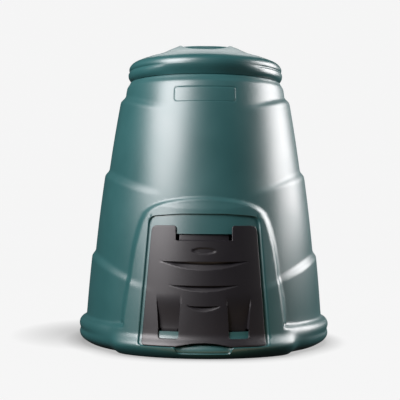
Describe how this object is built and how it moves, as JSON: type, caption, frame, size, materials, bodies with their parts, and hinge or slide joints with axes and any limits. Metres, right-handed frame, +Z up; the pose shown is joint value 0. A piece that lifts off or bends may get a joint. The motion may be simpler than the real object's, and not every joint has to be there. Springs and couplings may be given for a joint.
{
  "type": "compost bin",
  "caption": "Tapered open-bottomed garden compost bin with a lift-off lid, a stepped moulded body and a low front hatch that slides up to unhook.",
  "frame": {"origin": "on the ground, at the middle of the overall box; the bin's own axis stands 11.7 mm behind it because the front foot reaches forward", "axes": "+Z up, -Y to the front where the hatch is, +X to the right seen from the front"},
  "size_m": [0.75, 0.7722, 0.893],
  "materials": {
    "green_shell": "fine-grained satin, dark green",
    "green_lid": "fine-grained satin, dark green",
    "dark_hatch": "fine-grained satin, charcoal"
  },
  "bodies": {
    "body": {"body": "green_shell"},
    "lid": {"lid": "green_lid"},
    "hatch": {"hatch": "dark_hatch"}
  },
  "joints": [
    {"name": "lid_lift", "type": "slide", "parent": "body", "child": "lid", "axis": [0, 0, 1], "range_m": [0, 0.3]},
    {"name": "hatch_lift", "type": "slide", "parent": "body", "child": "hatch", "axis": [0, 0.1724, 0.985], "range_m": [0, 0.0165]}
  ]
}
